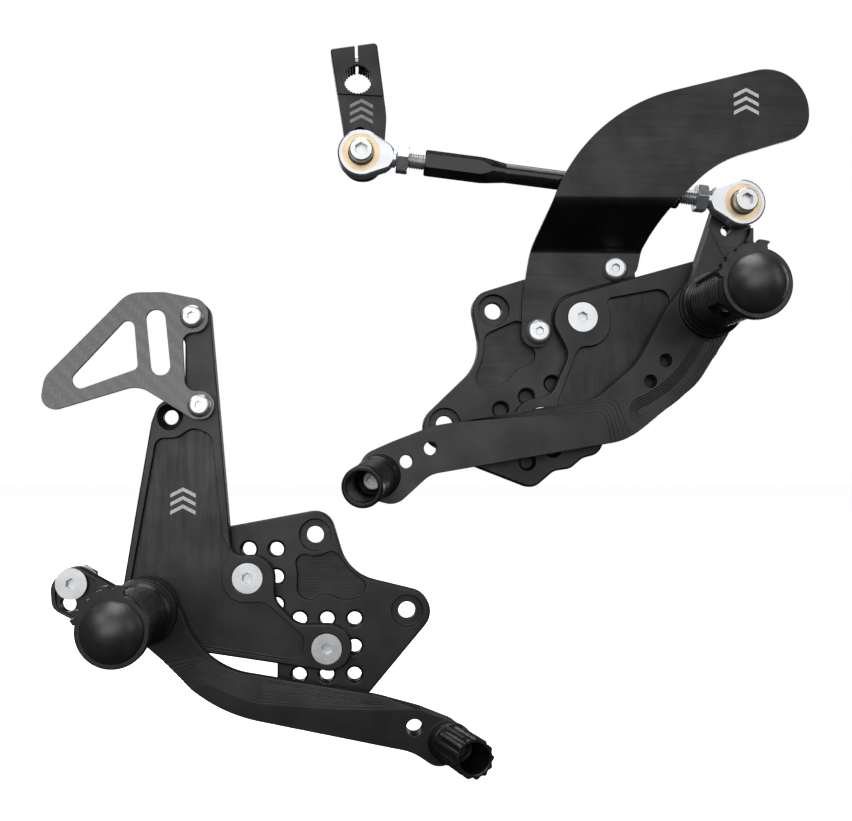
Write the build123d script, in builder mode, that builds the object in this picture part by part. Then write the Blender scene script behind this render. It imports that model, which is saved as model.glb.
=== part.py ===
from build123d import *
import os
from math import atan2, cos, hypot, pi, radians, sin

os.makedirs("parts", exist_ok=True)

# A pair of motorcycle rearset units, brake side and shift side, in millimetres.
# +X runs to the right, +Z is up and -Y points outwards, to the rider's foot.
# Both units bolt to the motorcycle frame at Y = 0. A height is a distance outwards from there.
# The origin is midway between the two frame bolts of the brake unit.

# ---------------------------------------------------------------- driving dimensions
OUTWARD = (0, -1, 0)

BRAKE_PIVOT = (-109.9, -17.4)      # foot peg and lever axis of the brake unit, x and z
SHIFT_PIVOT = (182.1, 140.1)       # foot peg and lever axis of the shift unit, x and z

ADAPTER_FACE = 10.0                # outer face of the adapter plates
PLATE_FACE = 18.0                  # outer face of the side plates
POCKET_DEPTH = 3.4
ADAPTER_POCKET_DEPTH = 4.2
WASHER_THICKNESS = 1.0
AXIAL_PLAY = 0.2
LEVER_BACK = PLATE_FACE + WASHER_THICKNESS + AXIAL_PLAY
HUB_FACE = 33.0
PEG_ROOT = HUB_FACE + AXIAL_PLAY + WASHER_THICKNESS

HUB_RADIUS = 17.0
SLEEVE_RADIUS = 9.0
BUSH_RADIUS = 11.0
RUNNING_CLEARANCE = 0.04
PEG_BOLT_RADIUS = 5.0

FRAME_BOLT_RADIUS = 4.5            # clearance holes for M8 frame bolts
FRAME_BOLT_SINK_RADIUS = 8.3
FRAME_BOLT_SINK_DEPTH = 4.0
THREAD_8_RADIUS = 3.7              # mean radius of an M8 thread
THREAD_6_RADIUS = 2.8              # mean radius of an M6 thread
BRAKE_GRID_PITCH = 14.4            # spacing of the position holes
SHIFT_GRID_PITCH = 15.5
BLIND_DEPTH = 8.0                  # depth of the position holes that end inside the shift adapter
GRID_CHAMFER = 1.0

ARM_FLOOR = 25.5                   # face of the lever arms where they are milled thin
TERRACE_COUNT = 8
TERRACE_STEP = 1.0

ROD_HEIGHT = 33.0                  # height of the linkage rod's axis
BALL_RADIUS = 7.92
BALL_WIDTH = 12.0
RACE_SPHERE_RADIUS = 8.0
RACE_RADIUS = 9.6
EYE_RADIUS = 12.0
EYE_WIDTH = 9.0
JAM_NUT_FLATS = 13.0
JAM_NUT_HEIGHT = 6.0
ROD_FLATS = 12.0
ROD_RADIUS = 5.0

# Centres and corners below are (x, z) or (x, z, corner radius), measured from the unit's pivot.
BRAKE_FRAME_BOLTS = [(85.65, 37.35), (134.15, -2.55)]
BRAKE_PLATE_SCREWS = [(51.2, 15.5), (92.2, -21.0)]
BRAKE_GUARD_SCREWS = [(22.4, 150.6), (26.6, 104.7)]
BRAKE_SPARE_HOLE = (10.9, 98.8)
BRAKE_PUSHROD_BOLT = (-35.6, 14.2)
BRAKE_PUSHROD_HOLE = (-37.6, 4.0)
BRAKE_ARM_HOLE = (137.0, -58.3)
BRAKE_TOE_BASE = (151.4, -65.6)
BRAKE_TOE_TILT = (0.23, -1, 0.02)

SHIFT_FRAME_BOLTS = [(-111.7, -0.8), (-137.9, -61.7)]
SHIFT_PLATE_SCREWS = [(-65.2, -5.2), (-87.2, -60.9)]
SHIFT_GUARD_SCREWS = [(-87.9, -12.6), (-47.0, 21.4)]
SHIFT_GRID_TURN = 27.0
SHIFT_BEND_HOLES = [(-23.7, -29.0), (-31.8, -40.0)]
SHIFT_TIP_HOLES = [(-146.9, -75.1), (-159.2, -81.8)]
SHIFT_SPARE_LINK_HOLE = (9.2, 39.7)
SHIFT_TOE_BASE = (-171.0, -87.6)
SHIFT_TOE_TILT = (-0.21, -1, -0.13)
REAR_BALL = (15.4, 52.8)
FRONT_BALL = (-182.7, 76.1)
SPINDLE_BORE = (-184.6, 117.4)
SPINDLE_RADIUS = 7.2


# ---------------------------------------------------------------- drawing helpers
def face_plane(pivot, height):
    """Plane facing the rider at a height, with its origin on a pivot axis."""
    return Plane(origin=(pivot[0], -height, pivot[1]), x_dir=(1, 0, 0), z_dir=OUTWARD)


def place(pivot, point, height):
    """Position in the shared frame of a point given from a pivot."""
    return (pivot[0] + point[0], -height, pivot[1] + point[1])


def rounded_face(corners, mode=Mode.ADD):
    """Closed face in the current sketch, each corner an (x, z, radius)."""
    with BuildLine() as path:
        FilletPolyline(*[(x, z) for x, z, r in corners], radius=[r for x, z, r in corners], close=True)
    make_face(path.line.edges(), mode=mode)


def slab(pivot, corners, low, high, mode=Mode.ADD):
    """Flat slab of a rounded outline between two heights."""
    with BuildSketch(face_plane(pivot, low)) as section:
        rounded_face(corners)
    extrude(section.sketch, amount=high - low, mode=mode)


def disc(pivot, point, radius, low, high, mode=Mode.ADD):
    """Round disc, or a round cut, between two heights."""
    with BuildSketch(face_plane(pivot, low)) as section:
        with Locations(point):
            Circle(radius)
    extrude(section.sketch, amount=high - low, mode=mode)


def spin_plane(base, direction):
    """Plane for a turning profile: x is the radius and y the distance along the axis."""
    along = Vector(*direction).normalized()
    across = along.cross(Vector(0, 0, 1)).normalized()
    return Plane(origin=base, x_dir=across, z_dir=across.cross(along))


def turned(base, direction, profile, mode=Mode.ADD):
    """Body of revolution from a profile of (radius, distance along the axis)."""
    with BuildSketch(spin_plane(base, direction)) as section:
        with BuildLine():
            Polyline(*profile, close=True)
        make_face()
    revolve(section.sketch, axis=Axis(base, direction), mode=mode)


def hex_prism(base, direction, across_flats, length, mode=Mode.ADD, turn=0):
    """Hexagonal prism, or a hexagonal socket when it is cut."""
    with BuildSketch(Plane(origin=base, z_dir=direction)) as section:
        RegularPolygon(radius=across_flats / 2, side_count=6, major_radius=False, rotation=turn)
    extrude(section.sketch, amount=length, mode=mode)


def thread_profile(core, crest, start, end, pitch):
    """Zigzag of a thread, drawn as rings, from one distance along the axis to another."""
    turns = round((end - start) / pitch)
    step = (end - start) / turns
    points = []
    for turn in range(turns):
        points += [(core, start + turn * step), (crest, start + (turn + 0.5) * step)]
    return points + [(core, end)]


def save(piece, name):
    """Label a finished piece and write its file."""
    piece.part.label = name
    export_step(piece.part, "parts/" + name + ".step")


# ---------------------------------------------------------------- fasteners
def countersunk_screw(head, shank_end, length, thread_radius, shank_radius, head_radius, socket):
    """Countersunk screw driven inwards from its flat head face."""
    cone = head_radius - shank_radius
    profile = [(0, 0), (head_radius, 0), (head_radius, 0.5), (shank_radius, 0.5 + cone)]
    profile += [(shank_radius, shank_end), (thread_radius, shank_end)]
    profile += [(thread_radius, length - 0.6), (thread_radius - 0.6, length), (0, length)]
    turned(head, (0, 1, 0), profile)
    hex_prism(head, (0, 1, 0), socket, 0.42 * head_radius, Mode.SUBTRACT)


def button_screw(seat, length, thread_radius, head_radius, head_height, socket):
    """Button head screw standing on its seat, driven inwards."""
    waist = 0.62 * head_radius
    profile = [(0, -head_height), (waist, -head_height), (0.82 * head_radius, -0.86 * head_height)]
    profile += [(0.95 * head_radius, -0.5 * head_height), (head_radius, -0.12 * head_height)]
    profile += [(head_radius, 0), (thread_radius, 0), (thread_radius, length - 0.5)]
    profile += [(thread_radius - 0.5, length), (0, length)]
    turned(seat, (0, 1, 0), profile)
    top = (seat[0], seat[1] - head_height, seat[2])
    hex_prism(top, (0, 1, 0), socket, 0.62 * head_height, Mode.SUBTRACT)


def socket_screw(seat, direction, length, thread_radius, head_radius, head_height, socket):
    """Socket cap screw standing on its seat, driven along a direction."""
    edge = 0.6
    profile = [(0, -head_height), (head_radius - edge, -head_height), (head_radius, edge - head_height)]
    profile += [(head_radius, 0), (thread_radius, 0), (thread_radius, length - 0.6)]
    profile += [(thread_radius - 0.6, length), (0, length)]
    turned(seat, direction, profile)
    top = Vector(*seat) - Vector(*direction).normalized() * head_height
    hex_prism((top.X, top.Y, top.Z), direction, socket, 0.55 * head_height, Mode.SUBTRACT)


# ---------------------------------------------------------------- plates
def frame_bolt_holes(pivot, points):
    """Through holes with flat sunk seats for the two frame bolts."""
    for point in points:
        disc(pivot, point, FRAME_BOLT_RADIUS, -1, ADAPTER_FACE + 1, Mode.SUBTRACT)
        disc(pivot, point, FRAME_BOLT_SINK_RADIUS, ADAPTER_FACE - FRAME_BOLT_SINK_DEPTH,
             ADAPTER_FACE + 1, Mode.SUBTRACT)


def grid_centres(centre, turn, pitch):
    """Nine hole centres of a square grid turned about its centre, the middle one fifth in the list."""
    cosine = cos(radians(turn))
    sine = sin(radians(turn))
    centres = []
    for column in (-1, 0, 1):
        for row in (-1, 0, 1):
            right = column * pitch
            up = row * pitch
            centres.append((centre[0] + right * cosine - up * sine, centre[1] + right * sine + up * cosine))
    return centres


def grid_holes(pivot, centres, bottom):
    """Tapped position holes in an adapter plate, down to a height, with their chamfers."""
    sink = GRID_CHAMFER
    wide = THREAD_8_RADIUS + GRID_CHAMFER
    for centre in centres:
        profile = [(0, bottom), (THREAD_8_RADIUS, bottom), (THREAD_8_RADIUS, ADAPTER_FACE - sink)]
        profile += [(wide, ADAPTER_FACE), (wide, ADAPTER_FACE + 1), (0, ADAPTER_FACE + 1)]
        turned(place(pivot, centre, 0), OUTWARD, profile, Mode.SUBTRACT)


def soften(piece, height, size):
    """Chamfer all edges of the flat face at a height."""
    face = piece.faces().filter_by(Axis.Y).filter_by_position(Axis.Y, -height - 0.01, -height + 0.01)
    chamfer(face.sort_by(SortBy.AREA)[-1].outer_wire().edges(), size)


BRAKE_ADAPTER_OUTLINE = [
    (30.0, 40.3, 8), (44.0, 42.4, 5), (92.9, 51.4, 11), (103.6, 16.8, 24), (155.5, 4.0, 11.5),
    (113.6, -46.0, 5), (66.3, -44.5, 4), (66.3, -22.0, 8), (28.5, -8.0, 8),
]
BRAKE_ADAPTER_POCKET = [
    (74.6, 28.6, 4.5), (86.5, 26.0, 9), (96.0, 29.6, 5), (103.8, 19.2, 12), (114.0, 11.0, 4.5),
    (108.8, 4.0, 5), (100.0, 3.4, 8), (91.3, 7.2, 8), (82.5, 2.6, 5), (76.2, 7.0, 5), (76.6, 17.0, 12),
]
BRAKE_PLATE_OUTLINE = [
    (14.0, 159.2, 8.3), (30.8, 159.2, 8.3), (43.2, 27.2, 6), (65.2, 27.6, 12), (65.6, 3.4, 9),
    (77.0, -8.3, 9), (105.3, -8.3, 12.5), (105.3, -34.3, 11.5), (20.0, -20.8, 3), (-7.0, -14.0, 0),
    (-14.2, -1.0, 0), (1.2, 96.0, 9), (5.5, 108.5, 8), (18.3, 107.0, 3), (18.3, 138.0, 5), (14.0, 143.0, 5),
]
BRAKE_PLATE_POCKET = [
    (3.8, 87.6, 4.5), (14.6, 88.0, 9), (22.4, 93.6, 7), (32.3, 89.4, 6), (38.4, 37.0, 9), (42.4, 29.4, 4),
    (38.0, 20.5, 9), (38.4, 2.6, 12), (60.0, 3.4, 10), (80.9, -14.8, 6), (79.0, -27.4, 5),
    (24.0, -18.4, 4), (4.0, -4.0, 0), (-10.0, 4.0, 6),
]


def brake_adapter_plate():
    with BuildPart() as adapter:
        slab(BRAKE_PIVOT, BRAKE_ADAPTER_OUTLINE, 0, ADAPTER_FACE)
        soften(adapter, ADAPTER_FACE, 0.7)
        frame_bolt_holes(BRAKE_PIVOT, BRAKE_FRAME_BOLTS)
        for screw in BRAKE_PLATE_SCREWS:
            grid_holes(BRAKE_PIVOT, grid_centres(screw, 0, BRAKE_GRID_PITCH), -1)
        floor = ADAPTER_FACE - ADAPTER_POCKET_DEPTH
        slab(BRAKE_PIVOT, BRAKE_ADAPTER_POCKET, floor, ADAPTER_FACE + 1, Mode.SUBTRACT)
    save(adapter, "brake_adapter_plate")


def screw_sinks(pivot, points, height, head_radius, shank_radius):
    """Countersunk seats for the screws that hold a side plate."""
    cone = head_radius - shank_radius
    for point in points:
        profile = [(0, -20), (shank_radius, -20), (shank_radius, -cone - 0.5), (head_radius, -0.5)]
        profile += [(head_radius, 1), (0, 1)]
        turned(place(pivot, point, height), OUTWARD, profile, Mode.SUBTRACT)


def brake_side_plate():
    with BuildPart() as plate:
        slab(BRAKE_PIVOT, BRAKE_PLATE_OUTLINE, ADAPTER_FACE, PLATE_FACE)
        disc(BRAKE_PIVOT, (0, 0), HUB_RADIUS, ADAPTER_FACE, PLATE_FACE)
        soften(plate, PLATE_FACE, 0.6)
        with BuildSketch(face_plane(BRAKE_PIVOT, PLATE_FACE - POCKET_DEPTH)):
            rounded_face(BRAKE_PLATE_POCKET)
            Circle(HUB_RADIUS - 1.5, mode=Mode.SUBTRACT)
        extrude(amount=POCKET_DEPTH + 1, mode=Mode.SUBTRACT)
        disc(BRAKE_PIVOT, (0, 0), PEG_BOLT_RADIUS, 0, PLATE_FACE + 1, Mode.SUBTRACT)
        screw_sinks(BRAKE_PIVOT, BRAKE_PLATE_SCREWS, PLATE_FACE, 8.0, 4.0)
        screw_sinks(BRAKE_PIVOT, [BRAKE_SPARE_HOLE], PLATE_FACE, 6.7, 3.8)
        for screw in BRAKE_GUARD_SCREWS:
            disc(BRAKE_PIVOT, screw, THREAD_6_RADIUS, 0, PLATE_FACE + 1, Mode.SUBTRACT)
    save(plate, "brake_side_plate")


SHIFT_ADAPTER_OUTLINE = [
    (-125.0, 6.6, 10.5), (-118.0, -27.8, 24), (-158.2, -66.6, 12), (-123.5, -83.8, 60), (-91.3, -96.3, 8),
    (-79.8, -86.6, 8), (-71.0, -85.4, 8), (-64.5, -79.8, 8), (-56.0, -77.6, 8), (-47.0, -60.0, 12),
    (-36.0, -22.0, 12), (-25.0, -2.0, 5), (-24.0, 13.0, 4), (-34.5, 14.6, 5), (-37.5, 34.2, 9.3),
]
SHIFT_ADAPTER_POCKET = [
    (-116.6, -14.0, 5), (-95.5, -4.5, 5), (-93.2, -19.0, 8), (-86.0, -26.8, 5), (-99.0, -32.4, 10),
    (-106.0, -40.2, 10), (-124.3, -44.0, 5), (-117.4, -26.0, 20),
]
SHIFT_PLATE_OUTLINE = [
    (-80.4, 4.0, 13.5), (-80.4, -10.0, 11), (-72.6, -25.0, 9), (-82.0, -46.6, 9), (-102.6, -50.4, 12),
    (-101.0, -75.6, 12), (-60.0, -67.6, 15), (-14.0, -40.0, 20), (3.0, -19.0, 12), (16.5, 3.0, 8),
    (12.0, 30.2, 15),
]
SHIFT_PLATE_POCKET = [
    (-53.4, 4.5, 3), (-50.4, -1.5, 8), (-50.8, -20.2, 12), (-67.4, -21.0, 6), (-81.0, -55.5, 4),
    (-52.0, -52.0, 12), (-27.0, -30.0, 20), (-18.6, -10.0, 12), (-19.0, 11.0, 6),
]


def shift_adapter_plate():
    with BuildPart() as adapter:
        slab(SHIFT_PIVOT, SHIFT_ADAPTER_OUTLINE, 0, ADAPTER_FACE)
        soften(adapter, ADAPTER_FACE, 0.7)
        frame_bolt_holes(SHIFT_PIVOT, SHIFT_FRAME_BOLTS)
        grid_holes(SHIFT_PIVOT, SHIFT_PLATE_SCREWS, -1)
        around = grid_centres(SHIFT_PLATE_SCREWS[1], SHIFT_GRID_TURN, SHIFT_GRID_PITCH)
        grid_holes(SHIFT_PIVOT, around[:4] + around[5:], ADAPTER_FACE - BLIND_DEPTH)
        floor = ADAPTER_FACE - ADAPTER_POCKET_DEPTH
        slab(SHIFT_PIVOT, SHIFT_ADAPTER_POCKET, floor, ADAPTER_FACE + 1, Mode.SUBTRACT)
        for screw in SHIFT_GUARD_SCREWS:
            disc(SHIFT_PIVOT, screw, THREAD_6_RADIUS, -1, ADAPTER_FACE + 1, Mode.SUBTRACT)
    save(adapter, "shift_adapter_plate")


def shift_side_plate():
    with BuildPart() as plate:
        slab(SHIFT_PIVOT, SHIFT_PLATE_OUTLINE, ADAPTER_FACE, PLATE_FACE)
        soften(plate, PLATE_FACE, 0.6)
        with BuildSketch(face_plane(SHIFT_PIVOT, PLATE_FACE - POCKET_DEPTH)):
            rounded_face(SHIFT_PLATE_POCKET)
            Circle(HUB_RADIUS - 1.5, mode=Mode.SUBTRACT)
        extrude(amount=POCKET_DEPTH + 1, mode=Mode.SUBTRACT)
        disc(SHIFT_PIVOT, (0, 0), PEG_BOLT_RADIUS, 0, PLATE_FACE + 1, Mode.SUBTRACT)
        screw_sinks(SHIFT_PIVOT, SHIFT_PLATE_SCREWS, PLATE_FACE, 8.0, 4.0)
    save(plate, "shift_side_plate")


def plate_screws(pivot, points, name):
    with BuildPart() as screws:
        for point in points:
            head = place(pivot, point, PLATE_FACE - 0.1)
            countersunk_screw(head, 7.9, 17.0, THREAD_8_RADIUS, 3.98, 7.9, 5.0)
    save(screws, name)


# ---------------------------------------------------------------- heel guards
BRAKE_GUARD_OUTLINE = [
    (30.3, 158.8, 7.6), (30.0, 142.9, 6.5), (17.4, 141.8, 5), (19.2, 112.2, 6), (34.0, 111.9, 6.8),
    (33.8, 97.0, 6.8), (23.5, 97.4, 5), (-4.8, 114.8, 14), (-55.2, 99.4, 7), (-52.4, 119.0, 12),
    (-10.3, 162.9, 14), (8.0, 163.2, 14),
]
BRAKE_GUARD_WINDOW = [(-7.7, 153.0, 3.6), (-5.0, 123.6, 3), (-49.0, 107.5, 4.3)]
BRAKE_GUARD_SLOT = [(3.8, 149.0), (6.4, 125.1)]
GUARD_BACK = 20.0
CARBON_THICKNESS = 2.5


def brake_heel_guard():
    with BuildPart() as guard:
        slab(BRAKE_PIVOT, BRAKE_GUARD_OUTLINE, GUARD_BACK, GUARD_BACK + CARBON_THICKNESS)
        slab(BRAKE_PIVOT, BRAKE_GUARD_WINDOW, GUARD_BACK - 1, GUARD_BACK + 4, Mode.SUBTRACT)
        with BuildSketch(face_plane(BRAKE_PIVOT, GUARD_BACK - 1)):
            with BuildLine():
                Line(*BRAKE_GUARD_SLOT)
            trace(line_width=10.0)
            with Locations(*BRAKE_GUARD_SLOT):
                Circle(5.0)
        extrude(amount=5, mode=Mode.SUBTRACT)
        for screw in BRAKE_GUARD_SCREWS:
            disc(BRAKE_PIVOT, screw, 3.2, GUARD_BACK - 1, GUARD_BACK + 4, Mode.SUBTRACT)
    save(guard, "brake_heel_guard")


def brake_guard_fixings():
    with BuildPart() as spacers:
        for point in BRAKE_GUARD_SCREWS:
            profile = [(3.2, 0), (6.0, 0), (6.0, GUARD_BACK - PLATE_FACE), (3.2, GUARD_BACK - PLATE_FACE)]
            turned(place(BRAKE_PIVOT, point, PLATE_FACE), OUTWARD, profile)
    save(spacers, "brake_guard_spacers")
    with BuildPart() as screws:
        for point in BRAKE_GUARD_SCREWS:
            seat = place(BRAKE_PIVOT, point, GUARD_BACK + CARBON_THICKNESS)
            button_screw(seat, 11.5, THREAD_6_RADIUS, 6.2, 3.4, 4.0)
    save(screws, "brake_guard_screws")


SHEET = 3.0                        # thickness of the bent aluminium guard
BLADE_HEIGHT = 43.0                # back of the guard's outer blade
RAMP_START = 32.0                  # rise above the pivot where the sheet's middle bends outwards
RAMP_END = 51.0                    # and where it bends back
MITRE = 0.867                      # half the sheet's thickness times the tangent of half the bend
SHIFT_GUARD_OUTLINE = [
    (-35.4, 18.0, 8), (-81.4, 5.0, 14), (-81.4, -20.8, 7.3), (-97.4, -21.2, 7.5), (-97.0, 4.0, 60),
    (-92.5, 31.0, 80), (-68.2, 96.7, 90), (47.8, 126.6, 22), (47.8, 86.7, 13), (-0.8, 71.7, 60),
    (-30.1, 42.7, 48),
]


def shift_heel_guard():
    """Sheet bent outwards in a ramp, so that its blade clears the linkage rod."""
    right_end = (SHIFT_PIVOT[0] + 80, 0, SHIFT_PIVOT[1])
    blade_face = BLADE_HEIGHT + SHEET
    bend = [
        (ADAPTER_FACE, -30, 0), (ADAPTER_FACE, RAMP_START + MITRE, 6.5),
        (BLADE_HEIGHT, RAMP_END + MITRE, 3.5), (BLADE_HEIGHT, 130, 0),
        (blade_face, 130, 0), (blade_face, RAMP_END - MITRE, 6.5),
        (ADAPTER_FACE + SHEET, RAMP_START - MITRE, 3.5), (ADAPTER_FACE + SHEET, -30, 0),
    ]
    with BuildPart() as guard:
        with BuildSketch(Plane(origin=right_end, x_dir=OUTWARD, z_dir=(-1, 0, 0))):
            rounded_face(bend)
        extrude(amount=220)
        slab(SHIFT_PIVOT, SHIFT_GUARD_OUTLINE, 0, 60, Mode.INTERSECT)
        for screw in SHIFT_GUARD_SCREWS:
            disc(SHIFT_PIVOT, screw, 3.2, 5, 30, Mode.SUBTRACT)
    save(guard, "shift_heel_guard")


def shift_guard_screws():
    with BuildPart() as screws:
        for point in SHIFT_GUARD_SCREWS:
            seat = place(SHIFT_PIVOT, point, ADAPTER_FACE + SHEET)
            button_screw(seat, 11.5, THREAD_6_RADIUS, 6.9, 3.6, 4.0)
    save(screws, "shift_guard_screws")


# ---------------------------------------------------------------- pivots and foot pegs
BARREL_RADIUS = 13.8
COLLAR_RADIUS = 16.4
BORE_RADIUS = 9.0
ROOT_WEB = 9.0
FLANGE_BACK = 100.0
FLANGE_FACE = 105.0
FLANGE_RADIUS = 16.7
HORN_RADIUS = 20.3
HORN_SPAN = (73, 104)              # angles of the horn that stands up from the flange
TOOTHED_RADIUS = 19.0
TOOTHED_SPAN = (104, 170)          # angles of the flange's toothed sector
TOOTHED_GAPS = (125.5, 145.0, 158.0, 171.0)
RAIL_ANGLE = 128                   # smooth rail along the barrel
COMB_ANGLE = 150                   # row of notches beside the rail
WINDOW_ANGLES = (226, 322)
WINDOW_HEIGHT = 75.0
WINDOW_LENGTH = 22.0
GROOVE_COUNT = 11
GROOVE_PITCH = 4.2
DOME_RADIUS = 14.1
DOME_RISE = 10.0


def pivot_parts(pivot, side):
    base = place(pivot, (0, 0), 0)
    with BuildPart() as sleeve:
        profile = [(PEG_BOLT_RADIUS, PLATE_FACE), (SLEEVE_RADIUS, PLATE_FACE), (SLEEVE_RADIUS, PEG_ROOT)]
        turned(base, OUTWARD, profile + [(PEG_BOLT_RADIUS, PEG_ROOT)])
    save(sleeve, side + "_pivot_sleeve")
    with BuildPart() as washers:
        for low in (PLATE_FACE, PEG_ROOT - WASHER_THICKNESS):
            high = low + WASHER_THICKNESS
            turned(base, OUTWARD, [(SLEEVE_RADIUS, low), (13.5, low), (13.5, high), (SLEEVE_RADIUS, high)])
    save(washers, side + "_thrust_washers")
    with BuildPart() as bushes:
        inner = SLEEVE_RADIUS + RUNNING_CLEARANCE
        middle = (LEVER_BACK + HUB_FACE) / 2
        for low, high in ((LEVER_BACK, middle - 0.6), (middle + 0.6, HUB_FACE)):
            turned(base, OUTWARD, [(inner, low), (BUSH_RADIUS, low), (BUSH_RADIUS, high), (inner, high)])
    save(bushes, side + "_lever_bushes")
    with BuildPart() as bolt:
        seat = place(pivot, (0, 0), PEG_ROOT + ROOT_WEB)
        length = PEG_ROOT + ROOT_WEB - ADAPTER_FACE - 0.3
        socket_screw(seat, (0, 1, 0), length, PEG_BOLT_RADIUS, 8.0, 10.0, 8.0)
    save(bolt, side + "_peg_bolt")


def sector(radius, span):
    """Sector of a disc between two angles, in the current sketch."""
    low, high = (radians(angle) for angle in span)
    far = 2 * radius
    Circle(radius)
    with BuildLine() as path:
        Polyline((0, 0), (far * cos(low), far * sin(low)), (far * cos(high), far * sin(high)), close=True)
    make_face(path.line.edges(), mode=Mode.INTERSECT)


def flange_sector(pivot, radius, span):
    with BuildSketch(face_plane(pivot, FLANGE_BACK)) as section:
        sector(radius, span)
        Circle(BORE_RADIUS + 2, mode=Mode.SUBTRACT)
    extrude(section.sketch, amount=FLANGE_FACE - FLANGE_BACK)


def polar(radius, angle):
    return (radius * cos(radians(angle)), radius * sin(radians(angle)))


def foot_peg(pivot, side):
    """Hollow grooved peg with a rail and a comb along it, a window, and a horned flange at its end."""
    base = place(pivot, (0, 0), 0)
    first_groove = PEG_ROOT + 8.0
    last = FLANGE_BACK - 4.0
    outer = [(BORE_RADIUS, PEG_ROOT + ROOT_WEB), (PEG_BOLT_RADIUS, PEG_ROOT + ROOT_WEB)]
    outer += [(PEG_BOLT_RADIUS, PEG_ROOT), (COLLAR_RADIUS - 0.8, PEG_ROOT), (COLLAR_RADIUS, PEG_ROOT + 0.8)]
    outer += [(COLLAR_RADIUS, PEG_ROOT + 2.6), (COLLAR_RADIUS - 1.2, PEG_ROOT + 3.4)]
    outer += [(COLLAR_RADIUS - 1.2, PEG_ROOT + 5.0), (BARREL_RADIUS, PEG_ROOT + 6.2)]
    for groove in range(GROOVE_COUNT):
        start = first_groove + groove * GROOVE_PITCH
        outer += [(BARREL_RADIUS, start), (BARREL_RADIUS - 1.2, start + 0.8)]
        outer += [(BARREL_RADIUS - 1.2, start + 1.7), (BARREL_RADIUS, start + 2.5)]
    outer += [(BARREL_RADIUS, last), (FLANGE_RADIUS - 0.6, FLANGE_BACK), (FLANGE_RADIUS, FLANGE_BACK + 0.6)]
    outer += [(FLANGE_RADIUS, FLANGE_FACE - 0.6), (FLANGE_RADIUS - 0.6, FLANGE_FACE)]
    outer += [(BORE_RADIUS, FLANGE_FACE)]
    with BuildPart() as peg:
        turned(base, OUTWARD, outer)
        with BuildSketch(face_plane(pivot, PEG_ROOT + 7.0)) as rail:
            sector(BARREL_RADIUS + 1.0, (RAIL_ANGLE - 11, RAIL_ANGLE + 11))
            Circle(BORE_RADIUS + 2, mode=Mode.SUBTRACT)
        extrude(rail.sketch, amount=last + 2.0 - PEG_ROOT - 7.0)
        flange_sector(pivot, HORN_RADIUS, HORN_SPAN)
        flange_sector(pivot, TOOTHED_RADIUS, TOOTHED_SPAN)
        for angle in TOOTHED_GAPS:
            disc(pivot, polar(TOOTHED_RADIUS + 0.3, angle), 1.6, last, FLANGE_FACE + 1, Mode.SUBTRACT)
        for distance, angle, radius in ((HORN_RADIUS, 92, 1.6), (HORN_RADIUS - 2.0, 70, 1.5)):
            disc(pivot, polar(distance, angle), radius, last, FLANGE_FACE + 1, Mode.SUBTRACT)
        disc(pivot, polar(BARREL_RADIUS + 0.6, COMB_ANGLE - 8), 1.3, first_groove, last, Mode.SUBTRACT)
        for groove in range(GROOVE_COUNT):
            middle = first_groove + 1.25 + (groove + 0.5) * GROOVE_PITCH
            x, z = polar(BARREL_RADIUS - 2.2, COMB_ANGLE)
            notch = [(0, 0), (0.2, 0), (1.9, 4), (0, 4)]
            turned(place(pivot, (x, z), middle), (x, 0, z), notch, Mode.SUBTRACT)
        for angle in WINDOW_ANGLES:
            centre = place(pivot, (0, 0), WINDOW_HEIGHT)
            x, z = polar(1, angle)
            with BuildSketch(Plane(origin=centre, x_dir=OUTWARD, z_dir=(x, 0, z))) as slot:
                SlotOverall(WINDOW_LENGTH, 9.0)
            extrude(slot.sketch, amount=BARREL_RADIUS + 5, mode=Mode.SUBTRACT)
    save(peg, side + "_foot_peg")


PLUG_LOW = FLANGE_FACE - 13.0
PLUG_HIGH = FLANGE_FACE - 3.0
STUD_LOW = 64.0
STUD_HIGH = FLANGE_FACE + 4.0


def peg_end(pivot, side):
    """Plug, stud and domed plastic slider at the outer end of a foot peg."""
    base = place(pivot, (0, 0), 0)
    with BuildPart() as plug:
        profile = [(THREAD_8_RADIUS, PLUG_LOW), (BORE_RADIUS, PLUG_LOW), (BORE_RADIUS, PLUG_HIGH)]
        turned(base, OUTWARD, profile + [(THREAD_8_RADIUS, PLUG_HIGH)])
    save(plug, side + "_peg_end_plug")
    with BuildPart() as stud:
        profile = [(0, STUD_LOW), (THREAD_8_RADIUS - 0.8, STUD_LOW), (THREAD_8_RADIUS, STUD_LOW + 0.8)]
        turned(base, OUTWARD, profile + [(THREAD_8_RADIUS, STUD_HIGH), (0, STUD_HIGH)])
    save(stud, side + "_slider_stud")
    dome_base = FLANGE_FACE + 1.2
    ball = (DOME_RADIUS ** 2 + DOME_RISE ** 2) / (2 * DOME_RISE)
    middle = dome_base + DOME_RISE - ball
    half = atan2(DOME_RADIUS, dome_base - middle) / 2
    with BuildPart() as slider:
        with BuildSketch(spin_plane(base, OUTWARD)):
            with BuildLine():
                Polyline((0, dome_base + DOME_RISE), (0, STUD_HIGH), (THREAD_8_RADIUS, STUD_HIGH),
                         (THREAD_8_RADIUS, PLUG_HIGH), (BORE_RADIUS - 0.1, PLUG_HIGH),
                         (BORE_RADIUS - 0.1, FLANGE_FACE), (DOME_RADIUS, FLANGE_FACE),
                         (DOME_RADIUS, dome_base))
                ThreePointArc((DOME_RADIUS, dome_base), (ball * sin(half), middle + ball * cos(half)),
                              (0, dome_base + DOME_RISE))
            make_face()
        revolve(axis=Axis(base, OUTWARD))
    save(slider, side + "_peg_slider")


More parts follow.
